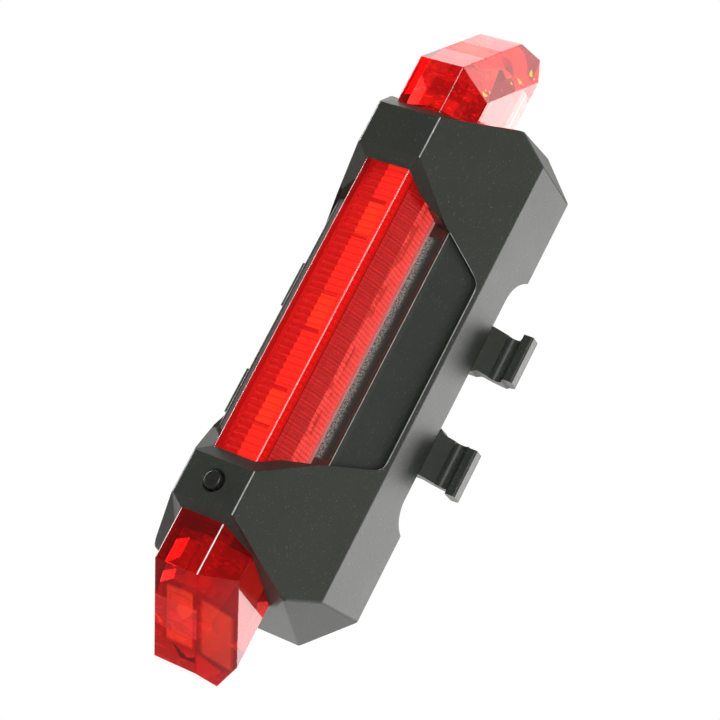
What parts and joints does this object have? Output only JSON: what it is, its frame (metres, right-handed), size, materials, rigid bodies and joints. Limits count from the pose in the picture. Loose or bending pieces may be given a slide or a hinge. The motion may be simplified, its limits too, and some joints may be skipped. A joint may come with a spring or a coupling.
{
  "type": "bicycle tail light",
  "caption": "Rechargeable bicycle tail light: faceted black housing, full-length clear red lens, push button, band hooks and rubber saddle for the seat post.",
  "frame": {"origin": "middle of the saddle pad's contact line with the seat post", "axes": "+Z along the light towards the end without the push button, -Y out of the lit front, +Y towards the seat post, +X to the light's side"},
  "size_m": [0.0302, 0.0211, 0.075],
  "materials": {
    "housing": "satin",
    "cover": "satin",
    "button": "satin",
    "lens": "gloss",
    "white": "satin",
    "board": "satin",
    "led": "satin",
    "phosphor": "satin",
    "chip": "matte",
    "tin": "satin",
    "steel": "satin",
    "gold": "satin",
    "cell": "satin",
    "red_wire": "satin",
    "black_wire": "satin",
    "screw": "satin",
    "rubber": "matte"
  },
  "bodies": {
    "light": {"front_housing": "housing", "lens_body": "lens", "crystal_backs": "lens", "reflector_tray": "white", "led_board": "board", "led_packages": "led", "led_phosphors": "phosphor", "resistors": "chip", "controller_chip": "chip", "chip_legs": "tin", "charger_chip": "chip", "switch_base": "chip", "switch_frame": "steel", "switch_terminals": "tin", "button_boot": "rubber", "battery_cell": "cell", "battery_board": "board", "lead_red": "red_wire", "lead_black": "black_wire", "foam_pad": "rubber", "usb_socket": "steel", "usb_tongue": "chip", "usb_contacts": "gold", "cover_seal": "rubber", "rear_cover": "cover", "cover_screws": "screw", "saddle_pad": "rubber", "flap_anchor": "rubber"},
    "button": {"button_cap": "button"},
    "plunger": {"switch_plunger": "chip"},
    "flap": {"port_flap": "rubber"}
  },
  "joints": [
    {"name": "button_press", "type": "slide", "parent": "light", "child": "button", "axis": [0, 1, 0], "range_m": [0, 0.00035], "stiffness_N_per_m": 2000},
    {"name": "plunger_press", "type": "slide", "parent": "light", "child": "plunger", "axis": [0, 1, 0], "range_m": [0, 0.00035]},
    {"name": "flap_hinge", "type": "hinge", "parent": "light", "child": "flap", "pos_m": [0, -0.0009, 0.0233], "axis": [1, 0, 0], "range_deg": [0, 120]}
  ],
  "couplings": [
    {"joint": "plunger_press", "follows": "button_press", "ratio": 1}
  ]
}
